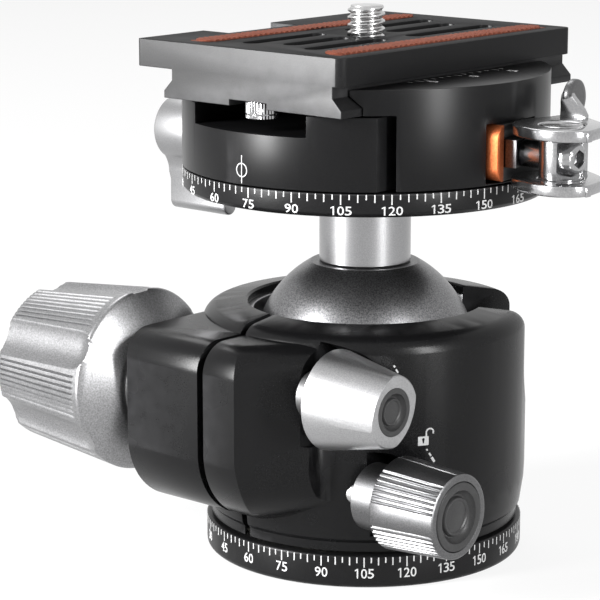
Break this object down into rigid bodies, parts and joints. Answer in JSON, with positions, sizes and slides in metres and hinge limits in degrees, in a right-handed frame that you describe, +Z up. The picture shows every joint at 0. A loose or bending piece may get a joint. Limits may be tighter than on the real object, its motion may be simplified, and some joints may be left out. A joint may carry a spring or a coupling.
{
  "type": "tripod ball head",
  "caption": "Tripod ball head with a panning base, drop notch, fluted main knob, friction and pan knobs, and a panning quick-release clamp with camera plate.",
  "frame": {"origin": "centre of the bottom face, on the pan axis and on the tripod socket's mouth", "axes": "+Z up along the pan axis, -Y to the front with the index line, +X to the clamp lever and the small knobs"},
  "size_m": [0.0963, 0.0748, 0.0926],
  "materials": {
    "black_anodised": "satin black anodised",
    "black_gloss": "semi-gloss black anodised",
    "silver_blasted": "blasted silver anodised",
    "silver_satin": "satin silver",
    "ball_grey": "dark grey hard anodised",
    "steel": "turned steel",
    "polished": "polished",
    "copper_orange": "copper",
    "brass": "turned brass",
    "polymer": "bearing plastic",
    "black_plastic": "matte black",
    "rubber_brown": "red-brown ribbed rubber",
    "rubber_black": "black rubber"
  },
  "bodies": {
    "base": {"base_dial": "black_anodised", "base_pad": "rubber_black", "tripod_bushing": "steel", "base_screws": "steel", "pan_spindle": "steel", "spindle_ring": "brass", "pan_washer": "polymer"},
    "housing": {"housing": "black_gloss", "rim_liner": "silver_satin", "ball_seat": "polymer", "clamp_nut": "steel", "knob_washer": "steel", "pan_shoe": "brass"},
    "main_knob": {"main_knob": "silver_blasted", "knob_collar": "black_plastic", "clamp_screw": "steel"},
    "friction_knob": {"friction_knob": "silver_blasted", "friction_screw": "steel", "friction_insert": "black_plastic"},
    "pan_knob": {"pan_knob": "silver_blasted", "pan_screw": "steel", "pan_insert": "black_plastic"},
    "brake": {"brake_pad": "polymer"},
    "ball": {"ball": "ball_grey"},
    "stem": {"stem": "silver_satin", "head_dial": "black_anodised", "head_screw": "steel", "head_bearing": "brass"},
    "clamp": {"clamp_body": "black_anodised", "guide_pins": "steel", "draw_bolt": "polished", "bolt_nut": "steel", "pivot_pin": "polished", "head_brake": "brass", "jaw_springs": "steel"},
    "jaw": {"jaw": "black_anodised", "saddle": "copper_orange", "pressure_block": "brass"},
    "pan_lever": {"pan_lever": "silver_satin", "lever_screw": "steel"},
    "clamp_lever": {"clamp_lever": "polished"},
    "plate": {"plate": "black_anodised", "rubber_strips": "rubber_brown", "stop_screw": "steel", "screw_clip": "steel"},
    "camera_screw": {"camera_screw": "steel"}
  },
  "joints": [
    {"name": "base_pan", "type": "hinge", "parent": "base", "child": "housing", "pos_m": [0, 0, 0.0058], "axis": [0, 0, 1], "continuous": true},
    {"name": "main_knob_turn", "type": "hinge", "parent": "housing", "child": "main_knob", "pos_m": [-0.03, -0.027, 0.0294], "axis": [1, 0, 0], "range_deg": [-90, 180]},
    {"name": "friction_knob_turn", "type": "hinge", "parent": "housing", "child": "friction_knob", "pos_m": [0.02, -0.027, 0.033], "axis": [1, 0, 0], "range_deg": [-90, 180]},
    {"name": "pan_knob_turn", "type": "hinge", "parent": "housing", "child": "pan_knob", "pos_m": [0.03, -0.0205, 0.0161], "axis": [1, 0, 0], "range_deg": [-90, 180]},
    {"name": "side_tilt", "type": "hinge", "parent": "housing", "child": "brake", "pos_m": [0, 0, 0.0328], "axis": [0.7071, 0.7071, 0], "range_deg": [-30, 30]},
    {"name": "drop_tilt", "type": "hinge", "parent": "brake", "child": "ball", "pos_m": [0, 0, 0.0328], "axis": [-0.7071, 0.7071, 0], "range_deg": [-15, 90]},
    {"name": "ball_spin", "type": "hinge", "parent": "ball", "child": "stem", "pos_m": [0, 0, 0.0328], "axis": [0, 0, 1], "continuous": true},
    {"name": "head_pan", "type": "hinge", "parent": "stem", "child": "clamp", "pos_m": [0, 0, 0.0662], "axis": [0, 0, 1], "continuous": true},
    {"name": "pan_lever_turn", "type": "hinge", "parent": "clamp", "child": "pan_lever", "pos_m": [-0.036, -0.002, 0.0683], "axis": [1, 0, 0], "range_deg": [-30, 40]},
    {"name": "clamp_lever_turn", "type": "hinge", "parent": "clamp", "child": "clamp_lever", "pos_m": [0.04, 0, 0.0712], "axis": [0, 0, 1], "range_deg": [-75, 0]},
    {"name": "jaw_slide", "type": "slide", "parent": "clamp", "child": "jaw", "axis": [1, 0, 0], "range_m": [0, 0.0018], "deforming": ["jaw_springs"]},
    {"name": "plate_slide", "type": "slide", "parent": "clamp", "child": "plate", "axis": [0, 1, 0], "range_m": [-0.0025, 0.0025]},
    {"name": "camera_screw_turn", "type": "hinge", "parent": "plate", "child": "camera_screw", "pos_m": [0, 0, 0.083], "axis": [0, 0, 1], "continuous": true}
  ],
  "couplings": [
    {"joint": "clamp_lever_turn", "follows": "jaw_slide", "rad_per_m": -727.2}
  ]
}
